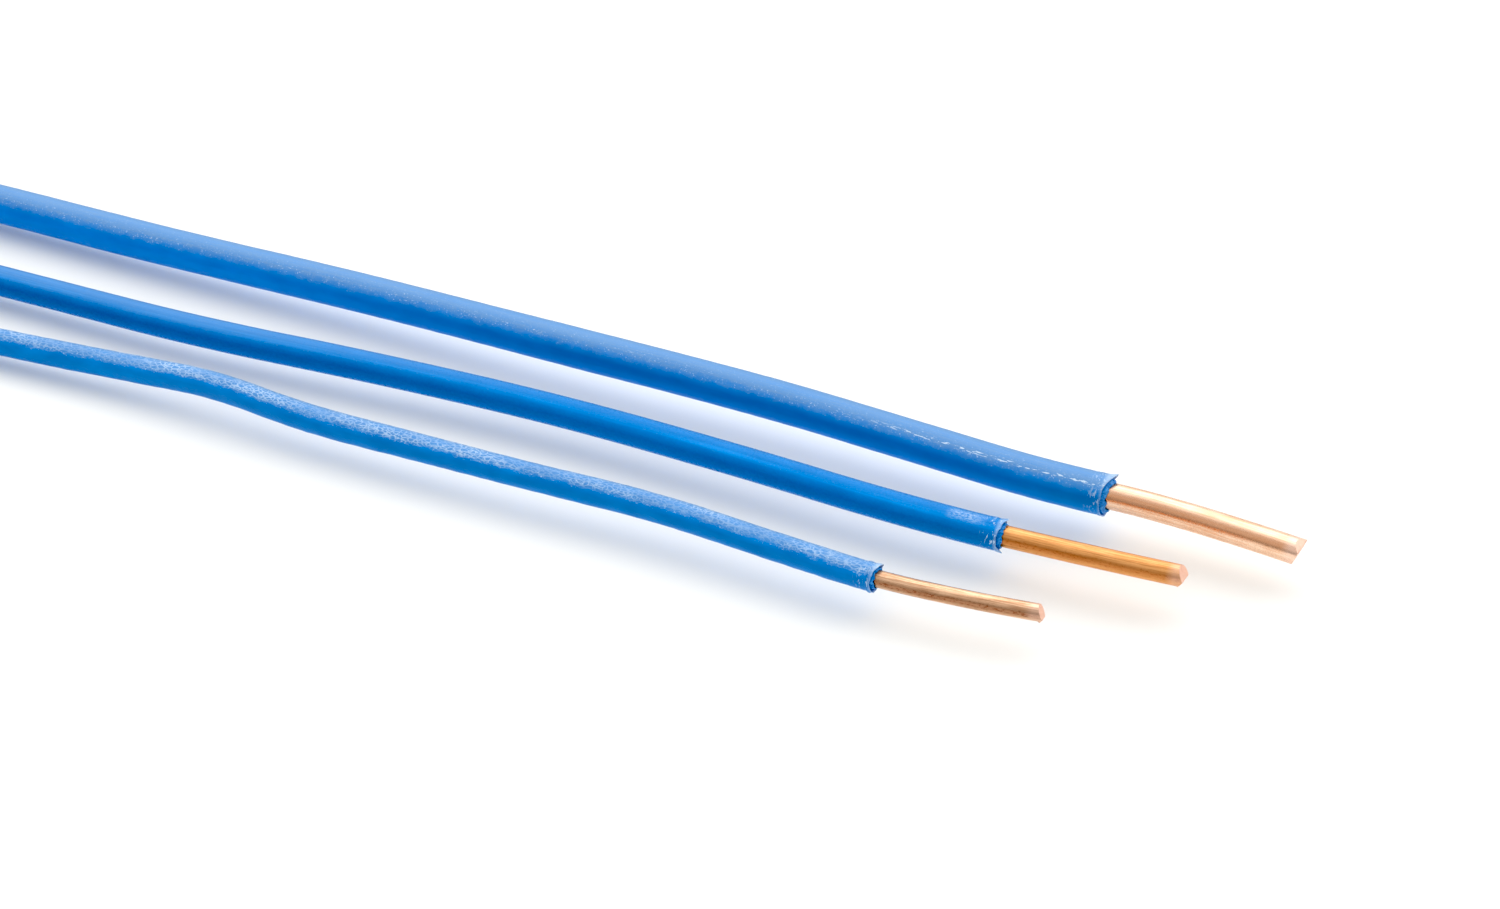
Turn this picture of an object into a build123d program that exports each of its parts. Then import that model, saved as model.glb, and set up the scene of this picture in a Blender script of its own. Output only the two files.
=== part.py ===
"""Three solid copper building wires of 10, 12 and 14 AWG, stripped for a joint.

Each wire has three concentric layers: a solid copper conductor, its PVC
insulation and a thin nylon jacket. The wires lie side by side on a table
and aren't joined. +X runs along them towards the stripped ends, +Y goes from
the thinnest to the thickest, and +Z is up from the table.
"""

import os
from dataclasses import dataclass
from math import cos, pi, radians, sin, tan

from build123d import *

# Driving dimensions, in millimetres and degrees
JACKET_WALL = 0.12  # the nylon jacket's thickness
JACKET_LIP = 0.25  # how far the jacket reaches past the insulation it covers
CORNER_SHARE = 0.45  # how much of its shorter run each corner's arc takes up


@dataclass
class BuildingWire:
    """One gauge of wire, its cut ends and the line that its middle follows."""

    gauge: str
    conductor: float  # diameter of the copper
    outside: float  # diameter over the jacket
    bare: float  # length of copper past the insulation
    facet_above: float  # angle between the cut tip's upper face and the wire's axis
    facet_below: float  # the same for its lower face
    ridge_roll: float  # how far the ridge between the faces is rolled about the axis
    ridge_drop: float  # how far the ridge lies below the axis
    route: list  # x, y, and how far the wire is lifted off the table


WIRES = [
    BuildingWire(
        gauge="10awg",
        conductor=2.588,
        outside=3.95,
        bare=19.35,
        facet_above=42,
        facet_below=69,
        ridge_roll=8,
        ridge_drop=-0.78,
        route=[
            (-149.0, 10.5, 0.0),
            (-122.0, 11.1, 0.0),
            (-88.0, 10.3, 0.0),
            (-54.0, 10.6, 0.0),
            (-21.7, 11.6, 0.0),
            (8.7, 11.2, 0.0),
            (24.7, 10.8, 0.75),
            (50.6, 10.6, 1.8),
            (72.6, 9.8, 2.4),
            (94.4, 9.6, 2.6),
            (111.4, 8.6, 2.5),
            (123.3, 8.0, 2.35),
            (136.4, 9.0, 2.15),
            (148.75, 7.75, 2.0),
        ],
    ),
    BuildingWire(
        gauge="12awg",
        conductor=2.053,
        outside=3.05,
        bare=17.65,
        facet_above=66,
        facet_below=52,
        ridge_roll=-10,
        ridge_drop=0.24,
        route=[
            (-149.0, -2.7, 0.0),
            (-123.0, -1.7, 0.0),
            (-91.0, -1.5, 0.0),
            (-58.0, -0.9, 0.0),
            (-25.7, -1.0, 0.0),
            (4.7, -0.9, 0.0),
            (20.8, -1.1, 0.7),
            (37.7, -1.4, 1.3),
            (56.6, -0.2, 1.8),
            (76.6, 0.6, 2.0),
            (96.6, -0.2, 2.2),
            (112.1, -1.3, 2.35),
            (126.8, -1.3, 2.5),
            (140.55, -0.65, 2.8),
        ],
    ),
    BuildingWire(
        gauge="14awg",
        conductor=1.628,
        outside=2.67,
        bare=15.9,
        facet_above=69,
        facet_below=45,
        ridge_roll=-19,
        ridge_drop=0.50,
        route=[
            (-149.0, -7.9, 0.0),
            (-123.0, -8.9, 0.0),
            (-89.0, -9.9, 0.0),
            (-55.0, -9.5, 0.0),
            (-23.7, -9.9, 0.0),
            (2.5, -10.6, 0.0),
            (15.6, -10.5, 0.5),
            (26.7, -10.0, 1.0),
            (35.7, -9.6, 1.5),
            (44.6, -9.6, 2.3),
            (54.7, -10.5, 1.85),
            (66.6, -10.6, 2.1),
            (79.5, -10.7, 2.35),
            (92.4, -10.4, 2.5),
            (105.5, -11.5, 2.45),
            (118.7, -12.3, 2.45),
            (130.9, -10.85, 2.7),
        ],
    ),
]


def corner_radii(points):
    """The radius of each corner's arc, as large as its two runs allow."""
    radii = []
    for before, corner, after in zip(points, points[1:], points[2:]):
        run_in = corner - before
        run_out = after - corner
        shorter = min(run_in.length, run_out.length)
        half_turn = radians(run_in.get_angle(run_out)) / 2
        radii.append(CORNER_SHARE * shorter / tan(half_turn))
    return radii


def middle_line(wire):
    """The wire's centreline: straight runs joined by tangent arcs."""
    resting_height = wire.outside / 2
    points = [Vector(x, y, resting_height + lift) for x, y, lift in wire.route]
    radii = corner_radii(points)
    print(wire.gauge, "corner radii", [round(radius) for radius in radii])
    with BuildLine() as centre:
        FilletPolyline(points, radius=radii)
    return centre.wire()


def square_across(line, distance):
    """The plane square across the line at a distance along it, facing forwards."""
    place = line.position_at(distance, position_mode=PositionMode.LENGTH)
    forwards = line.tangent_at(distance, position_mode=PositionMode.LENGTH)
    return Plane(origin=place, x_dir=forwards.cross(Vector(0, 0, 1)), z_dir=forwards)


def tip_faces(wire, line):
    """The two planes of the pinched tip, which meet in a ridge across it."""
    end = square_across(line, line.length).rotated((0, 0, wire.ridge_roll))
    ridge = end.origin + end.y_dir * wire.ridge_drop
    faces = []
    for facet, towards in ((wire.facet_above, -end.y_dir), (wire.facet_below, end.y_dir)):
        outwards = end.z_dir * sin(radians(facet)) + towards * cos(radians(facet))
        faces.append(Plane(origin=ridge, z_dir=outwards))
    return faces


def report_volume(name, part, section, length):
    """Compares a swept layer's volume with its section times its length."""
    print(f"{name}: {part.volume:.2f} mm3, section x length {section * length:.2f} mm3")


def save(name, part):
    """Labels a finished layer and writes it as a STEP file of that name."""
    part.label = name
    export_step(part, f"parts/{name}.step")


def build_wire(wire):
    """Builds one wire's three layers around a common centreline."""
    line = middle_line(wire)
    start = square_across(line, 0)
    under_jacket = wire.outside / 2 - JACKET_WALL
    layers = {
        "insulation": (wire.conductor / 2, under_jacket, line.length - wire.bare),
        "jacket": (under_jacket, wire.outside / 2, line.length - wire.bare + JACKET_LIP),
    }

    with BuildPart() as conductor:
        with BuildSketch(start):
            Circle(wire.conductor / 2)
        sweep(path=line)
        for face in tip_faces(wire, line):
            split(bisect_by=face, keep=Keep.BOTTOM)
    name = f"conductor_{wire.gauge}"
    report_volume(name, conductor.part, pi * wire.conductor**2 / 4, line.length)
    save(name, conductor.part)

    for layer, (inside, outside, length) in layers.items():
        with BuildPart() as sleeve:
            with BuildSketch(start):
                Circle(outside)
                Circle(inside, mode=Mode.SUBTRACT)
            sweep(path=line)
            split(bisect_by=square_across(line, length), keep=Keep.BOTTOM)
        name = f"{layer}_{wire.gauge}"
        report_volume(name, sleeve.part, pi * (outside**2 - inside**2), length)
        save(name, sleeve.part)

    print(f"{wire.gauge}: {line.length:.1f} mm long, its tip at {line @ 1} pointing along {line % 1}")


os.makedirs("parts", exist_ok=True)
for building_wire in WIRES:
    build_wire(building_wire)
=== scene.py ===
"""Looks for three solid copper building wires of 10, 12 and 14 AWG, stripped for a joint.

Each wire is three closed skins wrapped around one smooth line: the drawn copper conductor,
its PVC insulation and the nylon jacket. Lengths are in metres, and angles in degrees.
+X runs along the wires to the stripped ends, and +Z is up from the table. Angles around a
wire start at the side that faces -Y, and 90 is its top.
"""

from dataclasses import dataclass

import bpy
import numpy as np
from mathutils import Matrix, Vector


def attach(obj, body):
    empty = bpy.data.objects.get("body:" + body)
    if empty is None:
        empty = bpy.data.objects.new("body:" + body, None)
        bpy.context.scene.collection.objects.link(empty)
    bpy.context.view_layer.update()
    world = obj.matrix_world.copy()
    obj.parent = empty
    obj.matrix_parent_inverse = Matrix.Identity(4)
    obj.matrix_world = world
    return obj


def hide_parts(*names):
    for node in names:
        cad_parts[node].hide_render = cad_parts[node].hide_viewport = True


MM = 0.001
TAU = 2 * np.pi

# The wires' layers
JACKET_WALL = 0.12 * MM
JACKET_LIP = 0.25 * MM  # how far the jacket reaches past the insulation
JACKET_ROOM = 0.03 * MM  # least room between the jacket and the insulation

# How finely the skins are divided
SIDES = 72  # points around each skin
COARSE_STEP = 0.6 * MM  # between rings on the half that lies further away
FINE_STEP = 0.22 * MM  # between rings towards the stripped ends
FINE_FROM = 150 * MM  # distance along the wire at which the finer rings start
HIDDEN_STEP = 1.5 * MM  # between rings that another layer covers
SHARP_EDGE = 40.0  # angle between two faces from which their edge shows as sharp

# The jacket's stripped end
LIP_LENGTH = 0.9 * MM  # of the part that the stripper left ragged
LIP_BACK = 0.35 * MM  # how much of it is torn off on average
LIP_BULGE = 0.03 * MM  # how far its rounded edge stands out
FLAP_SPREAD = 0.15  # how far a torn flap stands off the wire, as a share of its reach
FOLD_BACK = 0.75 * MM  # from the jacket's end back to the middle of the fold
FOLD_SLANT = 0.35 * MM  # how far the fold strays from there on its way around the wire
FOLD_TURN = 34.38  # where around the wire it crosses its middle
FOLD_WIDTH = 0.22 * MM

# The insulation's torn face
GAP_AT = 10.0  # where around the wire the PVC stands furthest off the copper
GAP_REACH = 95.0  # how many degrees the gap reaches either way
LEAST_GAP = 0.03 * MM
GAP = 0.22 * MM  # how much wider than that it is at most
BORE_ROOM = 0.01 * MM  # between the insulation and the copper inside it

# The copper's tip
TIP_STRETCH = 4 * MM  # length over which the rings lean over to meet the slanted cut
BURR_AT = -62.0  # where around the wire the cutter left a sliver
BURR_REACH = 16.0  # how many degrees it reaches either way

# The camera, which looks down on the stripped ends from in front and to the right
CAMERA_TARGET = Vector((0.094, 0.0061, 0.0))
CAMERA_DISTANCE = 0.430
CAMERA_AZIMUTH = 25.0
CAMERA_ELEVATION = 34.5
CAMERA_LENS = 108.0
CAMERA_SENSOR = 36.0
CAMERA_CLIP = 0.01  # nothing nearer than this is seen

# The studio: a white tent, as pairs of an angle and a brightness. The angle goes up from the
# horizon behind the camera, over the top at 90 and down to the horizon behind the wires.
TENT = [(0, 0.30), (24, 0.50), (42, 0.80), (60, 0.75), (78, 0.72), (92, 1.25)]
TENT += [(112, 1.70), (120, 2.20), (134, 2.20), (144, 1.50), (160, 1.10), (180, 0.40)]
TENT_STRENGTH = 1.10  # a factor for all of its brightnesses
TABLE_SIZE = 8.0
PAPER = (0.92, 0.92, 0.895, 1)  # the table's colour, a warm white
BLACK_LEVEL = 0.04  # the brightness that shows as black, for a little more contrast


@dataclass
class Wire:
    """One gauge of wire: its sizes, the line that its middle follows and how its ends were cut."""

    gauge: str
    conductor: float  # diameter of the copper
    outside: float  # diameter over the jacket
    bare: float  # length of copper past the insulation
    facet_above: float  # angle between the cut tip's upper face and the wire's axis
    facet_below: float  # the same for its lower face
    ridge_roll: float  # how far the ridge between the faces is rolled about the axis
    ridge_drop: float  # how far the ridge lies below the axis
    burr: float  # length of the sliver that the cutter left at the tip's lower edge
    crinkle: float  # height of the fine wrinkles in the nylon
    waves: float  # height of the slow swellings along the wire
    flare: float  # how far the jacket's lip spreads
    ragged: float  # how uneven the stripper left the jacket's lip
    flaps: list  # of torn nylon: its angle around the wire, how far it reaches out, its width
    nose: float  # how far the torn PVC reaches out past the lip
    fold: float  # height of the fold that the stripper pushed up behind the lip
    seed: int
    route: list  # x, y, and how far the wire is lifted off the table


WIRES = [
    Wire(
        gauge="10awg",
        conductor=2.588 * MM,
        outside=3.95 * MM,
        bare=19.35 * MM,
        facet_above=42.0,
        facet_below=69.0,
        ridge_roll=8.0,
        ridge_drop=-0.78 * MM,
        burr=0.0,
        crinkle=0.008 * MM,
        waves=0.02 * MM,
        flare=0.05 * MM,
        ragged=0.12 * MM,
        flaps=[(118.0, 0.65 * MM, 70.0), (0.0, -0.25 * MM, 80.0)],
        nose=0.75 * MM,
        fold=0.03 * MM,
        seed=10,
        route=[
            (-0.1490, 0.0105, 0.0000),
            (-0.1220, 0.0111, 0.0000),
            (-0.0880, 0.0103, 0.0000),
            (-0.0540, 0.0106, 0.0000),
            (-0.0217, 0.0116, 0.00025),
            (0.0087, 0.0112, 0.00075),
            (0.0247, 0.0108, 0.0010),
            (0.0506, 0.0106, 0.0018),
            (0.0726, 0.0098, 0.0024),
            (0.0944, 0.0096, 0.0026),
            (0.1114, 0.0086, 0.0025),
            (0.1233, 0.0080, 0.00235),
            (0.1364, 0.0090, 0.00215),
            (0.14875, 0.00775, 0.0020),
        ],
    ),
    Wire(
        gauge="12awg",
        conductor=2.053 * MM,
        outside=3.05 * MM,
        bare=17.65 * MM,
        facet_above=66.0,
        facet_below=52.0,
        ridge_roll=-10.0,
        ridge_drop=0.24 * MM,
        burr=0.04 * MM,
        crinkle=0.003 * MM,
        waves=0.015 * MM,
        flare=0.03 * MM,
        ragged=0.26 * MM,
        flaps=[(112.0, 0.40 * MM, 60.0), (-42.0, 0.50 * MM, 34.0)],
        nose=0.55 * MM,
        fold=0.03 * MM,
        seed=12,
        route=[
            (-0.1490, -0.0027, 0.0000),
            (-0.1230, -0.0017, 0.0000),
            (-0.0910, -0.0015, 0.0000),
            (-0.0580, -0.0009, 0.0000),
            (-0.0257, -0.0010, 0.00025),
            (0.0047, -0.0009, 0.00075),
            (0.0208, -0.0011, 0.00105),
            (0.0377, -0.0014, 0.0014),
            (0.0566, -0.0002, 0.0018),
            (0.0766, 0.0006, 0.0020),
            (0.0966, -0.0002, 0.0022),
            (0.1121, -0.0013, 0.00235),
            (0.1268, -0.0013, 0.0025),
            (0.14055, -0.00065, 0.0028),
        ],
    ),
    Wire(
        gauge="14awg",
        conductor=1.628 * MM,
        outside=2.67 * MM,
        bare=15.9 * MM,
        facet_above=69.0,
        facet_below=45.0,
        ridge_roll=-19.0,
        ridge_drop=0.50 * MM,
        burr=0.14 * MM,
        crinkle=0.016 * MM,
        waves=0.03 * MM,
        flare=0.02 * MM,
        ragged=0.07 * MM,
        flaps=[(118.0, 0.35 * MM, 65.0), (10.0, -0.15 * MM, 60.0)],
        nose=0.45 * MM,
        fold=0.11 * MM,
        seed=14,
        route=[
            (-0.1490, -0.0079, 0.0000),
            (-0.1230, -0.0089, 0.0000),
            (-0.0890, -0.0099, 0.0000),
            (-0.0550, -0.0095, 0.0000),
            (-0.0237, -0.0099, 0.00025),
            (0.0025, -0.0106, 0.00055),
            (0.0156, -0.0105, 0.00075),
            (0.0267, -0.0100, 0.0011),
            (0.0357, -0.0096, 0.0015),
            (0.0446, -0.0096, 0.0023),
            (0.0547, -0.0105, 0.00185),
            (0.0666, -0.0106, 0.0021),
            (0.0795, -0.0107, 0.00235),
            (0.0924, -0.0104, 0.0025),
            (0.1055, -0.0115, 0.00245),
            (0.1187, -0.0123, 0.00245),
            (0.1309, -0.01085, 0.0027),
        ],
    ),
]


# ---------------------------------------------------------------- looks

# Colours
HAZE_AND_SHEEN = (0.17, 0.34, 0.62, 1)  # painted sheen of the lights on scuffed nylon over blue
SHADED = (0.0, 0.10, 0.28, 1)  # blue where the jacket is darkest
GLEAM = (0.03, 0.36, 0.95, 1)  # blue where it is brightest
UPPER_BACK_SHADE = (0.06, 0.16, 0.28, 1)  # painted shade along the jacket's upper back
WHITE_WEAR_AND_GLINT = (0.62, 0.78, 0.95, 1)  # nylon that was bent or rubbed until it turned white, and the painted glints and highlights on it
PVC_DEEP = (0.003, 0.14, 0.50, 1)
PVC_PALE = (0.03, 0.29, 0.78, 1)
PVC_PULLED = (0.12, 0.46, 0.90, 1)  # PVC that was stretched until it tore
SHEARED = (0.95, 0.68, 0.56, 1)  # freshly cut copper
SHEARED_DARK = (0.80, 0.48, 0.36, 1)

# Where the marks, the painted sheen and the painted shade lie around a wire
HAZE_AND_SHEEN_AT = 95.0
SHADE_AT = 10.0
GLEAM_AT = 57.0
DASHES_AT = 58.0
RUB_AT = 78.0
JACKET_BACK = 140.0
COPPER_BACK = 135.0

# The distances along a wire, in millimetres, over which its far looks give way to its near ones
FAR_UNTIL = 185.0
NEAR_FROM = 225.0


@dataclass
class Jacket:
    """What one jacket's nylon looks like. Most amounts run from 0 to 1."""

    deep: tuple  # the blue of its darker clouds
    pale: tuple  # the blue of its paler clouds
    streak: tuple  # the blue of the streaks along it
    roughness: float
    ior: float
    haze_and_sheen: float  # how strong the painted sheen on the scuffed top is near the stripped end
    far_haze_and_sheen: float  # the same for the half that lies further away
    haze_and_sheen_reach: float  # how many degrees the painted sheen reaches down either side of the top
    crazing_and_glints: float  # how deep the fine wrinkles are, and how white their painted glints along the lit top are
    scuff_glints: float  # how white the painted glints of scuffs along the edge of the painted sheen are
    dashes: float  # how white the line of dashes near the stripped end is
    shade: float  # how dark the band along the lower front is near the stripped end
    far_shade: float  # the same for the half that lies further away
    gleam: float  # how bright the line along the upper front is
    rub: float  # how white the rubbed patch just behind the stripped end is
    creases: float  # how white the creases at the lip are


@dataclass
class Copper:
    """What one conductor's copper looks like, and the record's slot for it."""

    slot: str
    bright: tuple  # clean copper
    dull: tuple  # the clouds and lines on it
    tarnish_and_shade: tuple  # its darkest colour, for tarnish and for painted shade
    front_shade: float  # how dark the painted shade is in a band along the front of the wire
    front_shade_at: float  # where around the wire that band is
    front_shade_reach: float  # how many degrees it reaches either way
    drawn: float  # how tarnished the lines are that the die drew
    back_shade: float  # how dark the painted shade on the upper back is
    freckles: float  # how tarnished its specks are
    squeezed: float  # how pink the cutter left the last of the copper
    roughness: float


JACKETS = {
    "10awg": Jacket(
        deep=(0.002, 0.225, 0.69, 1),
        pale=(0.006, 0.262, 0.77, 1),
        streak=(0.003, 0.205, 0.62, 1),
        roughness=0.40,
        ior=1.42,
        haze_and_sheen=0.80,
        far_haze_and_sheen=0.80,
        haze_and_sheen_reach=66.0,
        crazing_and_glints=0.0,
        scuff_glints=0.6,
        dashes=1.0,
        shade=0.38,
        far_shade=0.05,
        gleam=0.0,
        rub=0.0,
        creases=0.5,
    ),
    "12awg": Jacket(
        deep=(0.001, 0.200, 0.60, 1),
        pale=(0.003, 0.225, 0.66, 1),
        streak=(0.010, 0.280, 0.76, 1),
        roughness=0.28,
        ior=1.33,
        haze_and_sheen=0.0,
        far_haze_and_sheen=0.35,
        haze_and_sheen_reach=60.0,
        crazing_and_glints=0.0,
        scuff_glints=0.1,
        dashes=0.0,
        shade=0.40,
        far_shade=0.45,
        gleam=0.55,
        rub=0.55,
        creases=0.8,
    ),
    "14awg": Jacket(
        deep=(0.002, 0.200, 0.60, 1),
        pale=(0.004, 0.250, 0.72, 1),
        streak=(0.003, 0.180, 0.54, 1),
        roughness=0.40,
        ior=1.42,
        haze_and_sheen=0.50,
        far_haze_and_sheen=0.50,
        haze_and_sheen_reach=56.0,
        crazing_and_glints=0.6,
        scuff_glints=0.6,
        dashes=0.0,
        shade=0.30,
        far_shade=0.15,
        gleam=0.0,
        rub=0.2,
        creases=0.6,
    ),
}
COPPERS = {
    "10awg": Copper(
        slot="copper_pale",
        bright=(0.95, 0.69, 0.52, 1),
        dull=(0.86, 0.52, 0.34, 1),
        tarnish_and_shade=(0.72, 0.36, 0.20, 1),
        front_shade=0.80,
        front_shade_at=35.0,
        front_shade_reach=30.0,
        drawn=0.32,
        back_shade=0.12,
        freckles=0.3,
        squeezed=0.6,
        roughness=0.26,
    ),
    "12awg": Copper(
        slot="copper_orange",
        bright=(0.88, 0.45, 0.19, 1),
        dull=(0.74, 0.35, 0.13, 1),
        tarnish_and_shade=(0.42, 0.14, 0.05, 1),
        front_shade=0.62,
        front_shade_at=12.0,
        front_shade_reach=30.0,
        drawn=0.42,
        back_shade=0.85,
        freckles=0.7,
        squeezed=0.3,
        roughness=0.40,
    ),
    "14awg": Copper(
        slot="copper_brown",
        bright=(0.88, 0.58, 0.38, 1),
        dull=(0.66, 0.38, 0.23, 1),
        tarnish_and_shade=(0.26, 0.10, 0.05, 1),
        front_shade=0.70,
        front_shade_at=8.0,
        front_shade_reach=36.0,
        drawn=0.40,
        back_shade=0.85,
        freckles=0.9,
        squeezed=0.3,
        roughness=0.36,
    ),
}


# ---------------------------------------------------------------- lines and skins


class Line:
    """A wire's smooth middle line, with the directions across it."""

    steps_per_point = 48
    span = 0.8 * MM  # how far each way a direction is measured

    def __init__(self, wire):
        self.points = self.smooth([(x, y, wire.outside / 2 + lift) for x, y, lift in wire.route])
        steps = np.linalg.norm(np.diff(self.points, axis=0), axis=1)
        self.distance = np.concatenate([[0.0], np.cumsum(steps)])
        self.length = float(self.distance[-1])

    def smooth(self, route):
        """Reads the points of the order 3 NURBS curve whose control points are the route's."""
        curve = bpy.data.curves.new("route", "CURVE")
        curve.dimensions = "3D"
        curve.resolution_u = self.steps_per_point
        spline = curve.splines.new("NURBS")
        spline.points.add(len(route) - 1)
        for point, place in zip(spline.points, route):
            point.co = (*place, 1.0)
        spline.order_u = 3
        spline.use_endpoint_u = True
        holder = bpy.data.objects.new("route", curve)
        mesh = bpy.data.meshes.new_from_object(holder)
        points = np.array([vertex.co for vertex in mesh.vertices], float)
        bpy.data.meshes.remove(mesh)
        bpy.data.objects.remove(holder)
        bpy.data.curves.remove(curve)
        return points

    def at(self, along):
        """The points at these distances along the line."""
        axes = [np.interp(along, self.distance, self.points[:, axis]) for axis in range(3)]
        return np.stack(axes, axis=-1)

    def directions(self, along):
        """Sideways towards -Y, and up, both square to the line and to each other."""
        ahead = self.at(along + self.span) - self.at(along - self.span)
        forwards = ahead / np.linalg.norm(ahead, axis=-1, keepdims=True)
        side = np.cross(forwards, (0.0, 0.0, 1.0))
        side = side / np.linalg.norm(side, axis=-1, keepdims=True)
        return side, np.cross(side, forwards)


def lumps(along, around, length, count, seed):
    """Smooth noise from -1 to 1 over a tube, in lumps of that length, count of them around."""
    rows = int(np.max(along) / length) + 4
    heights = np.random.default_rng(seed).uniform(-1.0, 1.0, (rows, count))
    down = along / length + 1.0
    across = around / TAU * count
    row = np.floor(down).astype(int)
    column = np.floor(across).astype(int)
    ease_down = (down - row) ** 2 * (3 - 2 * (down - row))
    ease_across = (across - column) ** 2 * (3 - 2 * (across - column))
    left = column % count
    right = (column + 1) % count
    near = heights[row, left] * (1 - ease_across) + heights[row, right] * ease_across
    far = heights[row + 1, left] * (1 - ease_across) + heights[row + 1, right] * ease_across
    return near * (1 - ease_down) + far * ease_down


def around_noise(around, count, seed):
    """Smooth noise from -1 to 1 that changes only around the wire."""
    return lumps(0.0 * around, around, 1.0, count, seed)


def ramp(value, start, end):
    """Rises smoothly from 0 at start to 1 at end."""
    share = np.clip((value - start) / (end - start), 0.0, 1.0)
    return share * share * (3 - 2 * share)


def near_angle(around, degrees, width):
    """1 at an angle around the wire, falling smoothly to 0 at a width either side of it."""
    away = np.abs((np.degrees(around) - degrees + 180.0) % 360.0 - 180.0)
    return ramp(away, width, 0.0)


def skin(name, line, along, radius, material, ring=False, cut=None, cut_rows=0):
    """A closed mesh around a line, from rows of points at a distance along it and a radius.

    With ring the last row joins the first, as around a tube's wall, and without it each end
    closes in a point. A second material can cover the faces of the last few rows.
    """
    rows, sides = along.shape
    around = np.arange(sides) * TAU / sides
    side, up = line.directions(along)
    outwards = np.cos(around)[None, :, None] * side + np.sin(around)[None, :, None] * up
    places = (line.at(along) + radius[..., None] * outwards).reshape(-1, 3)
    straight = np.stack([along, radius * np.cos(around), radius * np.sin(around)], axis=-1)
    straight = straight.reshape(-1, 3)

    index = np.arange(rows * sides).reshape(rows, sides)
    joined = np.vstack([index, index[:1]]) if ring else index
    turned = np.roll(joined, -1, axis=1)
    quads = np.stack([joined[:-1], joined[1:], turned[1:], turned[:-1]], axis=-1)
    faces = quads.reshape(-1, 4).tolist()
    if not ring:
        for end in (0, -1):
            loop = index[end]
            middle = len(places)
            places = np.vstack([places, places[loop].mean(axis=0)])
            straight = np.vstack([straight, (along[end].mean(), 0.0, 0.0)])
            for here, there in zip(loop.tolist(), np.roll(loop, -1).tolist()):
                faces.append([middle, here, there] if end == 0 else [middle, there, here])

    mesh = bpy.data.meshes.new(name)
    mesh.from_pydata(places.tolist(), [], faces)
    mesh.polygons.foreach_set("use_smooth", [True] * len(mesh.polygons))
    mesh.set_sharp_from_angle(angle=np.radians(SHARP_EDGE))
    unrolled = mesh.attributes.new("straight", "FLOAT_VECTOR", "POINT")
    unrolled.data.foreach_set("vector", straight.astype(np.float32).ravel())
    mesh.materials.append(material)
    if cut is not None:
        mesh.materials.append(cut)
        first_cut = (rows - 1 - cut_rows) * sides
        last_cut = (rows - 1) * sides
        tip_fan = len(faces) - sides
        is_cut = [first_cut <= face < last_cut or face >= tip_fan for face in range(len(faces))]
        mesh.polygons.foreach_set("material_index", [int(answer) for answer in is_cut])
    piece = bpy.data.objects.new(name, mesh)
    bpy.context.scene.collection.objects.link(piece)
    return piece


def stations(start, end):
    """Distances of the rings from start to end, closer together in the nearer half."""
    coarse = np.arange(start, min(FINE_FROM, end), COARSE_STEP)
    fine = np.arange(max(FINE_FROM, start), end, FINE_STEP)
    return np.concatenate([coarse, fine, [end]])


def rows_of(distances):
    """The same distances for each point around, and the angle of each point."""
    around = np.arange(SIDES) * TAU / SIDES
    return np.repeat(distances[:, None], SIDES, axis=1), np.tile(around, (len(distances), 1))


# ---------------------------------------------------------------- the three layers


def jacket_surface(wire, along, around):
    """The jacket's outer radius, with the slow swellings and fine wrinkles of drawn nylon."""
    # The height and length of each kind of lump, and how many fit around the wire
    kinds = [
        (wire.waves, 14 * MM, 3),
        (0.5 * wire.waves, 5 * MM, 5),
        (wire.crinkle, 1.1 * MM, 13),
        (0.6 * wire.crinkle, 0.55 * MM, 23),
    ]
    radius = np.full(along.shape, wire.outside / 2)
    for number, (height, length, count) in enumerate(kinds):
        radius += height * lumps(along, around, length, count, wire.seed + number)
    return radius


def build_jacket(wire, line, material):
    """The nylon: out along the outside, over the ragged lip and back along the inside."""
    end = line.length - wire.bare + JACKET_LIP
    outer, around = rows_of(stations(0.0, end))
    radius = jacket_surface(wire, outer, around)

    lip = ramp(outer, end - LIP_LENGTH, end)
    reach = sum(out * near_angle(around, angle, width) for angle, out, width in wire.flaps)
    radius = radius + (wire.flare + FLAP_SPREAD * reach) * lip**2
    fold_at = end - FOLD_BACK - FOLD_SLANT * np.sin(around - np.radians(FOLD_TURN))
    fold = np.exp(-(((outer - fold_at) / FOLD_WIDTH) ** 2))
    uneven = 1 + 0.5 * around_noise(around, 7, wire.seed + 12)
    radius = radius + wire.fold * fold * uneven
    ragged = 0.6 * around_noise(around, 17, wire.seed + 4)
    ragged += 0.4 * around_noise(around, 31, wire.seed + 5)
    outer = outer + (wire.ragged * ragged - LIP_BACK + reach) * lip

    turn = np.linspace(0, np.pi, 9)[1:-1, None]  # over the lip's rounded edge
    edge_along = outer[-1] + 0.75 * JACKET_WALL * np.sin(turn)
    edge_radius = radius[-1] - 0.5 * JACKET_WALL * (1 - np.cos(turn)) + LIP_BULGE * np.sin(turn)
    back = slice(None, None, -4)  # every fourth ring, from the lip to the far end
    wall_shares = np.array([[0.25], [0.75]])  # across the wall where the far end is cut square
    far_along = np.zeros((len(wall_shares), SIDES))
    far_radius = radius[0] - JACKET_WALL * (1 - wall_shares)
    return skin(
        f"jacket-{wire.gauge}",
        line,
        np.vstack([outer, edge_along, outer[back], far_along]),
        np.vstack([radius, edge_radius, radius[back] - JACKET_WALL, far_radius]),
        material,
        ring=True,
    )


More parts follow.
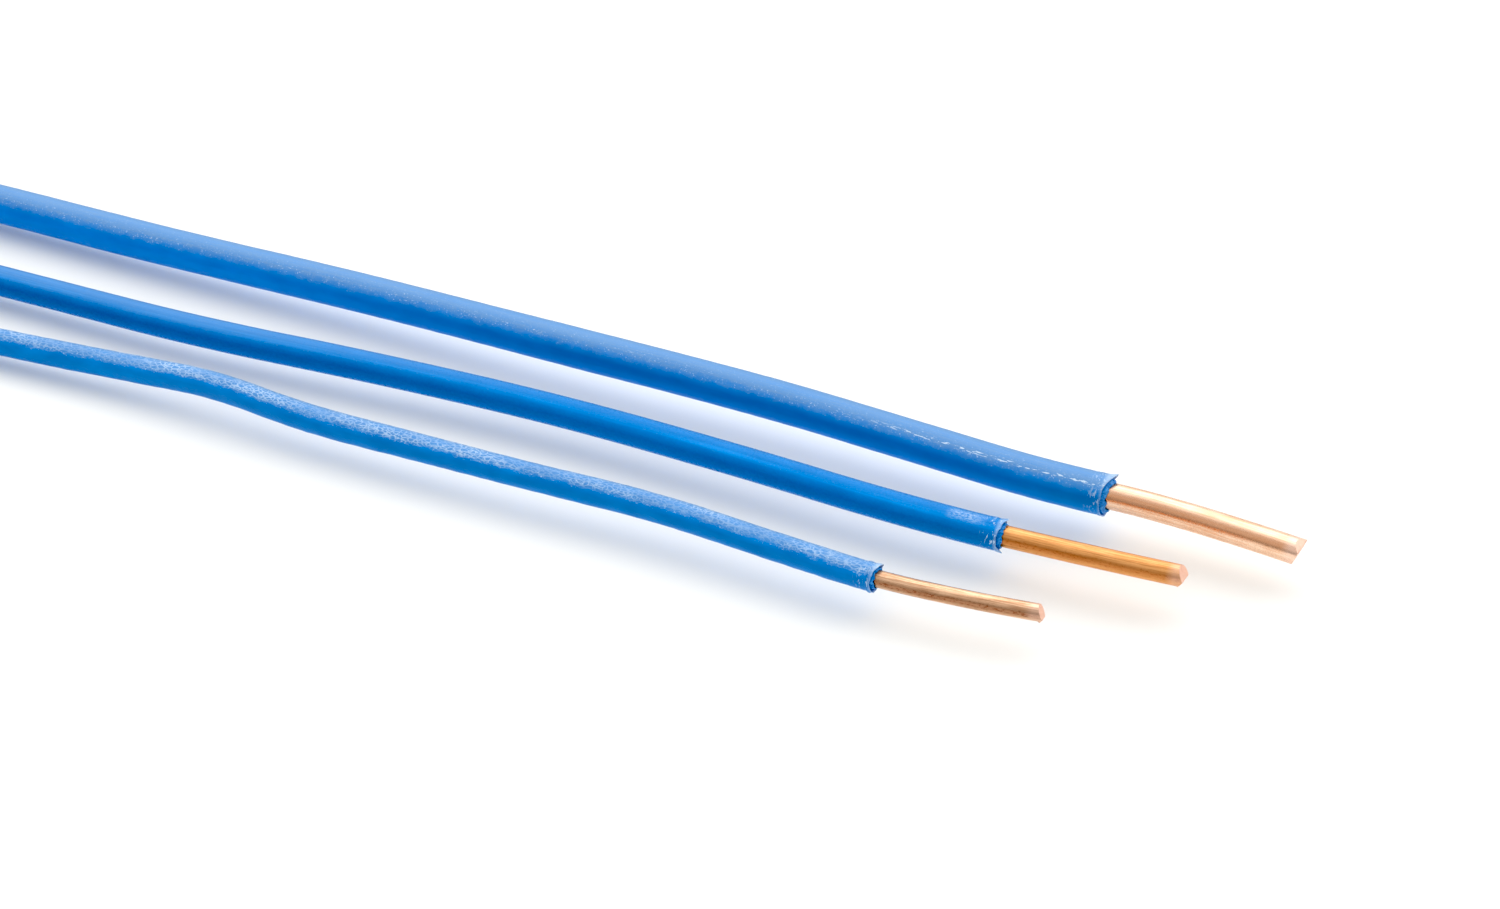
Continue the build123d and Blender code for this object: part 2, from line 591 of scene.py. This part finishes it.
def build_insulation(wire, line, material):
    """The PVC: a plain sleeve inside the jacket, with the torn face that the stripper leaves."""
    end = line.length - wire.bare
    room = JACKET_ROOM + wire.waves + 2 * wire.crinkle
    plain = np.arange(0.0, end - 0.5 * MM, HIDDEN_STEP)
    outer, around = rows_of(np.concatenate([plain, [end - 0.4 * MM, end - 0.1 * MM]]))
    radius = np.full(outer.shape, wire.outside / 2 - JACKET_WALL - room)
    radius[-1] -= 0.05 * MM  # a rounded shoulder

    turned = around[0]
    torn = 0.5 + 0.3 * around_noise(turned, 11, wire.seed + 6)
    torn += 0.2 * around_noise(turned, 23, wire.seed + 14)
    notch = 0.5 + 0.5 * around_noise(turned, 23, wire.seed + 8)
    gap = LEAST_GAP + GAP * notch**2 * near_angle(turned, GAP_AT, GAP_REACH)
    shares = np.linspace(0.06, 1.0, 15)[:, None]  # from the sleeve in to the copper
    face_around = np.tile(turned, (len(shares), 1))
    grain = lumps(shares * 4 + 0 * face_around, face_around, 1.0, 19, wire.seed + 7)
    nose = wire.nose * torn * np.sin(np.clip(shares * 1.15, 0, 1) * np.pi / 2)
    face_along = end - 0.05 * MM + nose + 0.05 * MM * grain * np.sin(shares * np.pi)
    face_radius = radius[-1] * (1 - shares) + (wire.conductor / 2 + gap) * shares

    deeper = np.arange(end - 3 * MM, 0.0, -2.0 * MM)
    bore_along, _ = rows_of(np.concatenate([[end - 0.15 * MM, end - 0.6 * MM], deeper, [0.0]]))
    bore_radius = np.full(bore_along.shape, wire.conductor / 2 + BORE_ROOM)
    bore_radius[0] += 0.7 * gap
    return skin(
        f"insulation-{wire.gauge}",
        line,
        np.vstack([outer, face_along, bore_along]),
        np.vstack([radius, face_radius, bore_radius]),
        material,
        ring=True,
    )


def recess(wire, below_axis):
    """How far the two faces of the cut fall back from the ridge, at a distance below the axis."""
    below_ridge = below_axis - wire.ridge_drop
    above = -below_ridge / np.tan(np.radians(wire.facet_above))
    below = below_ridge / np.tan(np.radians(wire.facet_below))
    return np.maximum(above, below)


def build_conductor(wire, line, material, cut):
    """The copper: drawn wire, cut square at the far end and pinched to a ridge at the tip."""
    shows_from = line.length - wire.bare - 2 * MM
    covered = np.arange(0.0, shows_from, HIDDEN_STEP)
    bare = np.arange(shows_from, line.length, FINE_STEP * 0.8)
    body, around = rows_of(np.concatenate([covered, bare]))
    radius = np.full(body.shape, wire.conductor / 2)
    radius += 0.004 * MM * lumps(body, around, 2.5 * MM, 9, wire.seed + 9)
    radius += 0.002 * MM * lumps(body, around, 6.0 * MM, 36, wire.seed + 10)

    far_shares = np.array([0.02, 0.2, 0.4, 0.6, 0.8, 0.92])[:, None]  # of the radius
    far_along = np.repeat(0.02 * MM * (1 - far_shares), SIDES, axis=1)
    far_radius = radius[0] * far_shares

    below = -np.sin(around[:1] + np.radians(wire.ridge_roll)) * wire.conductor / 2
    leaning = ramp(body, line.length - TIP_STRETCH, line.length)
    body = body + (line.length - recess(wire, below) - bare[-1]) * leaning
    radius[-1] += wire.burr * near_angle(around[0], BURR_AT, BURR_REACH)
    shares = np.linspace(0.95, 0.05, 18)[:, None]  # of the radius, in to the middle of the cut
    cap_radius = radius[-1] * shares
    cap_along = line.length - recess(wire, below * shares)
    sheared = lumps(shares * 6 + 0 * cap_radius, around[: len(shares)], 1.0, 13, wire.seed + 11)
    cap_along += 0.02 * MM * sheared * (1 - shares**4)
    return skin(
        f"conductor-{wire.gauge}",
        line,
        np.vstack([far_along, body, cap_along]),
        np.vstack([far_radius, radius, cap_radius]),
        material,
        cut=cut,
        cut_rows=len(shares),
    )


# ---------------------------------------------------------------- nodes


class Nodes:
    """A short way to lay out the nodes of a tree."""

    def __init__(self, tree):
        self.tree = tree

    def connect(self, value, socket):
        """Links a node's output to a socket, or sets a plain value on it."""
        if isinstance(value, bpy.types.NodeSocket):
            self.tree.links.new(value, socket)
        else:
            socket.default_value = value

    def add(self, kind, inputs=None, **settings):
        """Adds a node with these settings, and connects its inputs."""
        node = self.tree.nodes.new(kind)
        for setting, value in settings.items():
            setattr(node, setting, value)
        for socket, value in (inputs or {}).items():
            self.connect(value, node.inputs[socket])
        return node

    def maths(self, operation, first, second, third=0.0):
        """The result of an operation on plain numbers."""
        node = self.add("ShaderNodeMath", {0: first, 1: second, 2: third}, operation=operation)
        return node.outputs["Value"]

    def vectors(self, operation, *values):
        """The outputs of an operation on vectors."""
        return self.add("ShaderNodeVectorMath", dict(enumerate(values)), operation=operation).outputs

    def combine(self, operation, values):
        """Applies an operation to the first two values, then to the result and the third, and so on."""
        result = values[0]
        for value in values[1:]:
            result = self.maths(operation, result, value)
        return result

    def product(self, *values):
        return self.combine("MULTIPLY", values)

    def highest(self, *values):
        return self.combine("MAXIMUM", values)

    def mix(self, share, first, second):
        """A colour that goes from the first to the second as the share goes from 0 to 1."""
        return self.add("ShaderNodeMix", {0: share, 6: first, 7: second}, data_type="RGBA").outputs[2]

    def spread(self, value, low, high, to_low, to_high):
        """Maps low..high of a value to to_low..to_high, clamped."""
        node = self.add(
            "ShaderNodeMapRange",
            {"Value": value, "From Min": low, "From Max": high, "To Min": to_low, "To Max": to_high},
        )
        return node.outputs["Result"]


class Surface(Nodes):
    """A material's nodes, with patterns laid on the wire as if it were straight."""

    def __init__(self, name):
        self.material = bpy.data.materials.new(name)
        self.material.use_nodes = True
        super().__init__(self.material.node_tree)

    def shaded(self, inputs):
        """The material, once these values are on its shader's inputs."""
        for name, value in inputs.items():
            self.connect(value, self.tree.nodes["Principled BSDF"].inputs[name])
        return self.material

    def straight(self):
        """The place on the straightened wire, in metres: X along it, Y and Z across it."""
        return self.add("ShaderNodeAttribute", attribute_name="straight").outputs["Vector"]

    def scaled(self, stretch):
        """The place on the straightened wire, in millimetres times a factor for each axis."""
        factors = tuple(factor / MM for factor in stretch)
        return self.vectors("MULTIPLY", self.straight(), factors)["Vector"]

    def along(self):
        """The distance along the wire from its far end, in millimetres."""
        parts = self.add("ShaderNodeSeparateXYZ", {"Vector": self.straight()}).outputs
        return self.maths("DIVIDE", parts["X"], MM)

    def from_angle(self, degrees):
        """How many degrees a place is from that angle around the wire, up to 180."""
        parts = self.add("ShaderNodeSeparateXYZ", {"Vector": self.straight()}).outputs
        turned = self.maths("ARCTAN2", parts["Z"], parts["Y"])
        offset = self.maths("SUBTRACT", turned, float(np.radians(degrees)))
        wrapped = self.maths("WRAP", offset, float(np.pi), float(-np.pi))
        return self.maths("MULTIPLY", self.maths("ABSOLUTE", wrapped, 0.0), 180 / np.pi)

    def beside(self, degrees, whole, gone, most=1.0):
        """The most up to whole degrees from an angle around the wire, and 0 from gone degrees."""
        return self.spread(self.from_angle(degrees), whole, gone, most, 0.0)

    def past(self, start, full, most=1.0):
        """0 up to a distance along the wire, and the most from a further one, in millimetres."""
        return self.spread(self.along(), start, full, 0.0, most)

    def far_to_near(self, far, near):
        """Changes along the wire from its look at the far end to that at the near end."""
        return self.spread(self.along(), FAR_UNTIL, NEAR_FROM, far, near)

    def noise(self, stretch, detail=2.0, roughness=0.5):
        """Soft noise around 0.5. A larger stretch makes it finer along that axis."""
        node = self.add(
            "ShaderNodeTexNoise",
            {"Vector": self.scaled(stretch), "Scale": 1.0, "Detail": detail, "Roughness": roughness},
        )
        return node.outputs["Fac"]

    def cells(self, stretch, sway):
        """The distance from the edges of uneven cells, which sway by that much."""
        place = self.scaled(stretch)
        drift = self.add("ShaderNodeTexNoise", {"Vector": place, "Scale": 0.7, "Detail": 2.0})
        moved = self.vectors("MULTIPLY_ADD", drift.outputs["Color"], (sway, sway, sway), place)
        node = self.add(
            "ShaderNodeTexVoronoi",
            {"Vector": moved["Vector"], "Scale": 1.0},
            feature="DISTANCE_TO_EDGE",
        )
        return node.outputs["Distance"]

    def bump(self, height, strength, distance, normal=None):
        """The surface's direction, roughened by a height."""
        inputs = {"Height": height, "Strength": strength, "Distance": distance}
        if normal is not None:
            inputs["Normal"] = normal
        return self.add("ShaderNodeBump", inputs).outputs["Normal"]


# ---------------------------------------------------------------- materials


def blue_of(nodes, look, streaks):
    """The jacket's blue: cloudy and streaked, with painted shade low in front and a painted highlight line
    along the upper front.
    """
    clouds = nodes.noise((0.35, 0.9, 0.9), detail=4.0)
    colour = nodes.mix(nodes.spread(clouds, 0.35, 0.7, 0.0, 1.0), look.deep, look.pale)
    colour = nodes.mix(nodes.spread(streaks, 0.55, 0.75, 0.0, 0.35), colour, look.streak)
    low = nodes.beside(SHADE_AT, 8.0, 32.0)
    colour = nodes.mix(nodes.product(low, nodes.far_to_near(look.far_shade, look.shade)), colour, SHADED)
    line = nodes.product(nodes.beside(GLEAM_AT, 4.0, 13.0), look.gleam)
    return nodes.mix(nodes.product(line, nodes.spread(streaks, 0.4, 0.6, 0.4, 1.2)), colour, GLEAM)


def white_marks_and_glints(nodes, look, from_top, end):
    """Where the nylon shows white: painted glints of scuffs along the sheen's edge, a line of dashes, a
    rubbed patch and creases at the lip.
    """
    # Painted glints of scuffs, along the edge of the painted sheen
    scuff_glints = nodes.spread(nodes.noise((5.0, 7.0, 7.0), detail=3.0, roughness=0.6), 0.60, 0.68, 0.0, 1.0)
    inner_edge = nodes.spread(from_top, 14.0, 40.0, 0.25, 1.0)
    outer_edge = nodes.spread(from_top, 48.0, 62.0, 1.0, 0.0)
    dashes = nodes.spread(nodes.noise((1.3, 6.0, 6.0), detail=2.0), 0.56, 0.60, 0.0, 1.0)
    rubbed = nodes.spread(nodes.noise((3.5, 6.0, 6.0), detail=4.0, roughness=0.7), 0.40, 0.62, 0.0, 1.0)
    creased = nodes.spread(nodes.noise((4.0, 1.6, 1.6), detail=3.0, roughness=0.6), 0.57, 0.62, 0.0, 1.0)
    return nodes.highest(
        nodes.product(scuff_glints, inner_edge, outer_edge, look.scuff_glints),
        nodes.product(
            dashes,
            nodes.beside(DASHES_AT, 3.0, 6.0),
            nodes.past(end - 26.0, end - 18.0),
            look.dashes,
        ),
        nodes.product(
            rubbed,
            nodes.beside(RUB_AT, 10.0, 30.0),
            nodes.past(end - 5.5, end - 4.6),
            nodes.spread(nodes.along(), end - 2.6, end - 1.2, 1.0, 0.0),
            look.rub,
        ),
        nodes.product(creased, nodes.past(end - 1.9, end - 0.7), look.creases),
    )


def nylon_material(wire, line, look):
    """Blue PVC seen through a thin clear nylon skin, scuffed hazy along its top, with a painted sheen of
    the lights there.
    """
    nodes = Surface(f"nylon {wire.gauge}")
    end = (line.length - wire.bare) / MM
    streaks = nodes.noise((0.10, 6.0, 6.0), detail=4.0, roughness=0.6)
    mottle = nodes.noise((3.0, 5.0, 5.0), detail=5.0, roughness=0.7)
    wander = nodes.noise((0.9, 1.8, 1.8), detail=6.0, roughness=0.7)
    from_top = nodes.maths("ADD", nodes.from_angle(HAZE_AND_SHEEN_AT), nodes.spread(wander, 0.3, 0.7, -9.0, 9.0))
    # The lit top, where the painted sheen and the wrinkles' painted glints lie
    top = nodes.spread(from_top, 36.0, look.haze_and_sheen_reach, 1.0, 0.0)
    brushed = nodes.spread(nodes.maths("ADD", mottle, streaks), 0.7, 1.3, 0.70, 1.25)
    haze_and_sheen_mask = nodes.product(top, nodes.far_to_near(look.far_haze_and_sheen, look.haze_and_sheen), brushed)
    wrinkles = nodes.spread(nodes.cells((1.7, 3.6, 3.6), 0.9), 0.02, 0.16, 1.0, 0.0)
    wrinkled = nodes.spread(nodes.noise((0.12, 0.5, 0.5)), 0.42, 0.62, 0.35, 1.0)
    # A painted highlight along the lip's rounded rim
    lip_rim_highlight = nodes.product(nodes.past(end - 0.45, end - 0.05, 0.5), nodes.spread(mottle, 0.35, 0.6, 0.5, 1.0))

    # Painted sheen of the lights over the scuffed top
    colour = nodes.mix(haze_and_sheen_mask, blue_of(nodes, look, streaks), HAZE_AND_SHEEN)
    # Painted shade along the upper back
    colour = nodes.mix(nodes.beside(JACKET_BACK, 16.0, 50.0, 0.6), colour, UPPER_BACK_SHADE)
    # Mixes towards white for real whitening and for painted glints and highlights
    for whitening_and_glints in (
        # Painted glints on the fine wrinkles along the lit top
        nodes.product(wrinkles, wrinkled, top, look.crazing_and_glints),
        white_marks_and_glints(nodes, look, from_top, end),
        lip_rim_highlight,
    ):
        colour = nodes.mix(whitening_and_glints, colour, WHITE_WEAR_AND_GLINT)

    uneven = nodes.spread(mottle, 0.3, 0.7, look.roughness * 0.8, look.roughness * 1.2)
    normal = nodes.bump(mottle, 0.25, 0.02 * MM)
    normal = nodes.bump(streaks, 0.3, 0.015 * MM, normal)
    normal = nodes.bump(nodes.product(wrinkles, look.crazing_and_glints), 0.6, 0.02 * MM, normal)
    return nodes.shaded(
        {
            "Base Color": colour,
            "Roughness": nodes.maths("MULTIPLY_ADD", haze_and_sheen_mask, 0.15, uneven),
            "Normal": normal,
            "IOR": look.ior,
        }
    )


def pvc_material(wire):
    """The torn end of the PVC: the same blue, dull and rough, and paler where it was pulled."""
    nodes = Surface(f"pvc {wire.gauge}")
    grain = nodes.noise((5.0, 5.0, 5.0), detail=4.0)
    tears = nodes.noise((2.0, 12.0, 12.0), detail=3.0)
    colour = nodes.mix(nodes.spread(tears, 0.4, 0.6, 0.0, 1.0), PVC_DEEP, PVC_PALE)
    pulled = nodes.spread(nodes.noise((2.0, 4.0, 4.0), detail=3.0), 0.50, 0.60, 0.0, 0.55)
    return nodes.shaded(
        {
            "Base Color": nodes.mix(pulled, colour, PVC_PULLED),
            "Normal": nodes.bump(grain, 0.6, 0.05 * MM),
            "Roughness": nodes.spread(grain, 0.3, 0.7, 0.35, 0.55),
        }
    )


def copper_material(wire, line, look):
    """Bare drawn copper, with the die's fine lines along it, a little tarnish, and painted shade along its
    front and its upper back.
    """
    nodes = Surface(f"copper {wire.gauge}")
    tip = line.length / MM
    clouds = nodes.noise((0.5, 1.4, 1.4), detail=4.0, roughness=0.6)
    lines = nodes.noise((0.25, 9.0, 9.0), detail=3.0)
    grain = nodes.noise((3.0, 7.0, 7.0), detail=5.0, roughness=0.7)
    uneven = nodes.spread(grain, 0.3, 0.7, -4.0, 4.0)
    # Painted shade in a band along the front, with the freckles strongest in it
    from_front_shade = nodes.maths("ADD", nodes.from_angle(look.front_shade_at), uneven)
    front_shade = nodes.spread(from_front_shade, 8.0, look.front_shade_reach, 1.0, 0.0)
    freckles = nodes.spread(grain, 0.52, 0.68, 0.0, look.freckles)
    freckled = nodes.product(freckles, nodes.spread(front_shade, 0.0, 1.0, 0.35, 1.0))
    shade_and_freckles = nodes.maths("MULTIPLY_ADD", front_shade, look.front_shade, freckled)
    drawn = nodes.spread(lines, 0.49, 0.58, 0.0, look.drawn)
    shaded_and_tarnished = nodes.maths("MINIMUM", nodes.highest(shade_and_freckles, drawn), 1.0)

    stain = nodes.spread(nodes.product(clouds, lines), 0.15, 0.4, 0.0, 1.0)
    colour = nodes.mix(stain, look.bright, look.dull)
    # Darkens towards that colour in the painted shade band, the freckles and the die's lines
    colour = nodes.mix(shaded_and_tarnished, colour, look.tarnish_and_shade)
    # Painted shade along the upper back
    colour = nodes.mix(nodes.beside(COPPER_BACK, 8.0, 24.0, look.back_shade), colour, look.tarnish_and_shade)
    colour = nodes.mix(nodes.past(tip - 1.7, tip - 0.9, look.squeezed), colour, SHEARED)
    normal = nodes.bump(lines, 0.35, 0.01 * MM)
    return nodes.shaded(
        {
            "Base Color": colour,
            "Roughness": nodes.spread(grain, 0.3, 0.7, look.roughness * 0.8, look.roughness * 1.3),
            "Normal": nodes.bump(grain, 0.35, 0.012 * MM, normal),
            "Metallic": 1.0,
        }
    )


def cut_material(wire):
    """Freshly sheared copper: pinkish and matt, with the cutter's marks across it."""
    nodes = Surface(f"cut copper {wire.gauge}")
    marks = nodes.noise((1.5, 9.0, 2.0), detail=4.0, roughness=0.7)
    return nodes.shaded(
        {
            "Base Color": nodes.mix(marks, SHEARED, SHEARED_DARK),
            "Roughness": nodes.spread(marks, 0.3, 0.7, 0.40, 0.62),
            "Normal": nodes.bump(marks, 0.5, 0.03 * MM),
            "Metallic": 1.0,
        }
    )


# ---------------------------------------------------------------- studio


def direction(azimuth, elevation):
    """Towards that azimuth, where 0 is -Y and 90 is +X, and elevation above the table."""
    turn = np.radians(azimuth)
    rise = np.radians(elevation)
    return Vector((np.sin(turn) * np.cos(rise), -np.cos(turn) * np.cos(rise), np.sin(rise)))


def build_camera():
    """Puts the camera at its distance from its target, looking at it."""
    camera = bpy.data.objects.new("camera", bpy.data.cameras.new("camera"))
    camera.data.lens = CAMERA_LENS
    camera.data.sensor_width = CAMERA_SENSOR
    camera.data.clip_start = CAMERA_CLIP
    place = CAMERA_TARGET + direction(CAMERA_AZIMUTH, CAMERA_ELEVATION) * CAMERA_DISTANCE
    camera.location = place
    camera.rotation_mode = "QUATERNION"
    camera.rotation_quaternion = (CAMERA_TARGET - place).to_track_quat("-Z", "Y")
    bpy.context.scene.collection.objects.link(camera)
    bpy.context.scene.camera = camera


def build_tent():
    """Lights the scene evenly from side to side, with TENT's brightness from front to back."""
    world = bpy.data.worlds.new("tent")
    world.use_nodes = True
    nodes = Nodes(world.node_tree)
    towards = nodes.add("ShaderNodeTexCoord").outputs["Generated"]
    height = nodes.vectors("DOT_PRODUCT", towards, (0, 0, 1))["Value"]
    nearness = nodes.vectors("DOT_PRODUCT", towards, direction(CAMERA_AZIMUTH, 0))["Value"]
    share = nodes.maths("DIVIDE", nodes.maths("ARCTAN2", height, nearness), np.pi)

    shades = nodes.add("ShaderNodeValToRGB", {"Fac": share})
    brightest = max(brightness for _, brightness in TENT)
    stops = shades.color_ramp.elements
    for degrees, _ in TENT[2:]:
        stops.new(degrees / 180)
    for stop, (degrees, brightness) in zip(stops, TENT):
        stop.position = degrees / 180
        stop.color = (*[brightness / brightest] * 3, 1)

    seen = nodes.add("ShaderNodeLightPath").outputs["Is Camera Ray"]
    sky = world.node_tree.nodes["Background"]
    nodes.connect(nodes.mix(seen, shades.outputs["Color"], (1, 1, 1, 1)), sky.inputs["Color"])
    nodes.connect(brightest * TENT_STRENGTH, sky.inputs["Strength"])
    bpy.context.scene.world = world


def build_studio():
    """A white table inside the tent, shown with a little more contrast than it has."""
    bpy.ops.mesh.primitive_plane_add(size=TABLE_SIZE)
    floor = bpy.context.object
    floor.name = "table"
    paper = Surface("white table")
    floor.data.materials.append(
        paper.shaded({"Base Color": PAPER, "Roughness": 0.9, "Specular IOR Level": 0.0})
    )

    build_tent()
    display = bpy.context.scene.view_settings
    display.view_transform = "Standard"
    display.use_curve_mapping = True
    display.curve_mapping.black_level = (BLACK_LEVEL,) * 3
    display.curve_mapping.update()


# ---------------------------------------------------------------- the scene


def build_wire(wire):
    """Makes one wire's three pieces and puts them on its body."""
    line = Line(wire)
    metal = COPPERS[wire.gauge]
    jacket = build_jacket(wire, line, nylon_material(wire, line, JACKETS[wire.gauge]))
    insulation = build_insulation(wire, line, pvc_material(wire))
    conductor = build_conductor(wire, line, copper_material(wire, line, metal), cut_material(wire))
    layers = {
        "jacket": (jacket, "nylon_jacket"),
        "insulation": (insulation, "blue_pvc"),
        "conductor": (conductor, metal.slot),
    }
    for layer, (piece, finish) in layers.items():
        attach(piece, f"wire_{wire.gauge}")
        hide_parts(f"{layer}_{wire.gauge}")


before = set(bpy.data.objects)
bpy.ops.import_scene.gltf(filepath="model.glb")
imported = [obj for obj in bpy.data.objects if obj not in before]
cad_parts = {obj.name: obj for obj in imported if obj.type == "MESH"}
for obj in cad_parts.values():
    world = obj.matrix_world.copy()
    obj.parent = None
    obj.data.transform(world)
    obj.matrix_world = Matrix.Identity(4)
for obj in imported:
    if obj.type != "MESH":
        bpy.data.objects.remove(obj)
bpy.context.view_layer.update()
for a_wire in WIRES:
    build_wire(a_wire)
build_studio()
build_camera()
